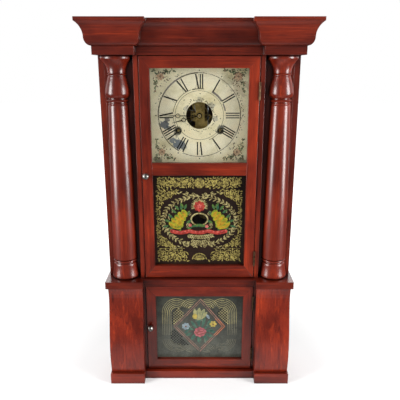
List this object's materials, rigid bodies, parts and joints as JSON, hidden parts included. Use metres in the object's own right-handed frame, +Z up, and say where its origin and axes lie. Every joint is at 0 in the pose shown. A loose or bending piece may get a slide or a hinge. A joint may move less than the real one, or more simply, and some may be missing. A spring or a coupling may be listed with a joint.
{
  "type": "column shelf clock",
  "caption": "Weight-driven shelf clock in a mahogany case with a stepped crown, turned columns, curved base pilasters, a glazed dial door and a painted lower door.",
  "frame": {"origin": "middle of the clock's box, on the surface that it stands on", "axes": "+Z up, -Y out of the dial, +X to the right as one faces the dial"},
  "size_m": [0.48, 0.146, 0.826],
  "materials": {
    "mahogany": "varnished red mahogany veneer",
    "pine": "unvarnished aged softwood",
    "dial_paint": "worn cream paint on a thin sheet",
    "clear_glass": "clear window glass",
    "painted_glass": "glass painted on its back",
    "brass": "aged brass",
    "steel": "drawn steel",
    "blued_steel": "darkened steel",
    "cast_iron": "dark casting",
    "cord": "twisted natural fibre"
  },
  "bodies": {
    "case": {"case_sides": "mahogany", "back_board": "pine", "top_board": "pine", "bottom_board": "pine", "face_boards": "mahogany", "door_jambs": "mahogany", "frieze": "mahogany", "crown": "mahogany", "columns": "mahogany", "ledge": "mahogany", "pilasters": "mahogany", "plinth_blocks": "mahogany", "base_rail": "mahogany", "dial_plate": "dial_paint", "dial_cleats": "pine", "front_plate": "brass", "back_plate": "brass", "plate_pillars": "brass", "suspension_stud": "brass", "bell": "cast_iron", "bell_stand": "cast_iron", "case_hinge_leaves": "brass", "cord_runs": "cord"},
    "upper_door": {"upper_door_stiles": "mahogany", "upper_door_rails": "mahogany", "dial_glass": "clear_glass", "tablet_glass": "painted_glass", "upper_hinge_leaves": "brass"},
    "upper_latch": {"upper_knob": "brass"},
    "lower_door": {"lower_door_stiles": "mahogany", "lower_door_rails": "mahogany", "lower_glass": "painted_glass", "lower_hinge_leaves": "brass"},
    "lower_latch": {"lower_knob": "brass"},
    "minute_hand": {"cannon_pinion": "brass", "minute_hand": "blued_steel"},
    "minute_wheel": {"minute_wheel": "brass"},
    "hour_hand": {"hour_wheel": "brass", "hour_hand": "blued_steel"},
    "center_wheel": {"center_wheel": "brass"},
    "third_wheel": {"third_wheel": "brass"},
    "escape_wheel": {"escape_wheel": "brass"},
    "second_wheel": {"second_wheel": "brass"},
    "time_great_wheel": {"time_great_wheel": "brass"},
    "time_drum": {"time_drum": "brass"},
    "strike_great_wheel": {"strike_great_wheel": "brass"},
    "strike_drum": {"strike_drum": "brass"},
    "pin_wheel": {"pin_wheel": "brass"},
    "warning_wheel": {"warning_wheel": "brass"},
    "fly": {"fly": "brass"},
    "verge": {"verge": "steel"},
    "pendulum": {"pendulum_rod": "steel", "pendulum_bob": "brass"},
    "hammer": {"hammer": "steel"},
    "time_weight": {"weight_right": "cast_iron", "cord_right": "cord"},
    "strike_weight": {"weight_left": "cast_iron", "cord_left": "cord"},
    "time_pulley": {"pulley_right": "pine"},
    "strike_pulley": {"pulley_left": "pine"}
  },
  "joints": [
    {"name": "upper_door_hinge", "type": "hinge", "parent": "case", "child": "upper_door", "pos_m": [0.12575, -0.025, 0.5], "axis": [0, 0, 1], "range_deg": [0, 150]},
    {"name": "upper_knob_turn", "type": "hinge", "parent": "upper_door", "child": "upper_latch", "pos_m": [-0.117, -0.0225, 0.506], "axis": [0, 1, 0], "range_deg": [0, 90]},
    {"name": "lower_door_hinge", "type": "hinge", "parent": "case", "child": "lower_door", "pos_m": [0.12575, -0.0335, 0.13], "axis": [0, 0, 1], "range_deg": [0, 100]},
    {"name": "lower_knob_turn", "type": "hinge", "parent": "lower_door", "child": "lower_latch", "pos_m": [-0.117, -0.031, 0.137], "axis": [0, 1, 0], "range_deg": [0, 90]},
    {"name": "minute_hand_turn", "type": "hinge", "parent": "case", "child": "minute_hand", "pos_m": [0, 0.005, 0.633], "axis": [0, -1, 0], "continuous": true},
    {"name": "minute_wheel_turn", "type": "hinge", "parent": "case", "child": "minute_wheel", "pos_m": [-0.01128, 0.015, 0.6289], "axis": [0, -1, 0], "continuous": true},
    {"name": "hour_hand_turn", "type": "hinge", "parent": "case", "child": "hour_hand", "pos_m": [0, 0.009, 0.633], "axis": [0, -1, 0], "continuous": true},
    {"name": "third_wheel_turn", "type": "hinge", "parent": "case", "child": "third_wheel", "pos_m": [-0.01033, 0.037, 0.65243], "axis": [0, -1, 0], "continuous": true},
    {"name": "center_wheel_turn", "type": "hinge", "parent": "case", "child": "center_wheel", "pos_m": [0, 0.035, 0.633], "axis": [0, -1, 0], "continuous": true},
    {"name": "second_wheel_turn", "type": "hinge", "parent": "case", "child": "second_wheel", "pos_m": [0.01514, 0.035, 0.61428], "axis": [0, -1, 0], "continuous": true},
    {"name": "time_great_wheel_turn", "type": "hinge", "parent": "case", "child": "time_great_wheel", "pos_m": [0.046, 0.051, 0.6], "axis": [0, -1, 0], "continuous": true},
    {"name": "escape_wheel_turn", "type": "hinge", "parent": "case", "child": "escape_wheel", "pos_m": [-0.00079, 0.026, 0.66769], "axis": [0, -1, 0], "continuous": true},
    {"name": "warning_wheel_turn", "type": "hinge", "parent": "case", "child": "warning_wheel", "pos_m": [-0.0474, 0.037, 0.65258], "axis": [0, -1, 0], "continuous": true},
    {"name": "pin_wheel_turn", "type": "hinge", "parent": "case", "child": "pin_wheel", "pos_m": [-0.05073, 0.043, 0.63367], "axis": [0, -1, 0], "continuous": true},
    {"name": "strike_great_wheel_turn", "type": "hinge", "parent": "case", "child": "strike_great_wheel", "pos_m": [-0.046, 0.051, 0.6], "axis": [0, -1, 0], "continuous": true},
    {"name": "fly_turn", "type": "hinge", "parent": "case", "child": "fly", "pos_m": [-0.03989, 0.03, 0.6667], "axis": [0, -1, 0], "continuous": true},
    {"name": "time_winding", "type": "hinge", "parent": "case", "child": "time_drum", "pos_m": [0.046, 0.035, 0.6], "axis": [0, 1, 0], "range_deg": [0, 1537]},
    {"name": "strike_winding", "type": "hinge", "parent": "case", "child": "strike_drum", "pos_m": [-0.046, 0.035, 0.6], "axis": [0, -1, 0], "range_deg": [0, 1537]},
    {"name": "time_weight_rise", "type": "slide", "parent": "case", "child": "time_weight", "axis": [0, 0, 1], "range_m": [0, 0.4906], "deforming": ["cord_right"]},
    {"name": "strike_weight_rise", "type": "slide", "parent": "case", "child": "strike_weight", "axis": [0, 0, 1], "range_m": [0, 0.4906], "deforming": ["cord_left"]},
    {"name": "time_pulley_turn", "type": "hinge", "parent": "case", "child": "time_pulley", "pos_m": [0.1587, 0.0345, 0.7355], "axis": [0, -1, 0], "continuous": true},
    {"name": "strike_pulley_turn", "type": "hinge", "parent": "case", "child": "strike_pulley", "pos_m": [-0.1587, 0.0345, 0.7355], "axis": [0, 1, 0], "continuous": true},
    {"name": "pendulum_swing", "type": "hinge", "parent": "case", "child": "pendulum", "pos_m": [0.019, 0.0168, 0.70269], "axis": [0, -1, 0], "range_deg": [-2.5, 2.5]},
    {"name": "verge_rock", "type": "hinge", "parent": "case", "child": "verge", "pos_m": [0.019, 0.035, 0.68669], "axis": [0, -1, 0], "range_deg": [-3.2, 3.2]},
    {"name": "hammer_lift", "type": "hinge", "parent": "case", "child": "hammer", "pos_m": [-0.01, 0.035, 0.583], "axis": [0, -1, 0], "range_deg": [0, 12]}
  ],
  "couplings": [
    {"joint": "minute_wheel_turn", "follows": "minute_hand_turn", "ratio": -0.33333},
    {"joint": "hour_hand_turn", "follows": "minute_hand_turn", "ratio": 0.083333},
    {"joint": "center_wheel_turn", "follows": "third_wheel_turn", "ratio": -0.1},
    {"joint": "second_wheel_turn", "follows": "third_wheel_turn", "ratio": 0.016667},
    {"joint": "time_great_wheel_turn", "follows": "third_wheel_turn", "ratio": -0.0022222},
    {"joint": "escape_wheel_turn", "follows": "third_wheel_turn", "ratio": -8},
    {"joint": "pin_wheel_turn", "follows": "warning_wheel_turn", "ratio": -0.14286},
    {"joint": "strike_great_wheel_turn", "follows": "warning_wheel_turn", "ratio": 0.019048},
    {"joint": "fly_turn", "follows": "warning_wheel_turn", "ratio": -7},
    {"joint": "time_winding", "follows": "time_weight_rise", "rad_per_m": 54.645},
    {"joint": "time_pulley_turn", "follows": "time_weight_rise", "rad_per_m": 81.301},
    {"joint": "strike_winding", "follows": "strike_weight_rise", "rad_per_m": 54.645},
    {"joint": "strike_pulley_turn", "follows": "strike_weight_rise", "rad_per_m": 81.301},
    {"joint": "verge_rock", "follows": "pendulum_swing", "ratio": 1.2667}
  ]
}
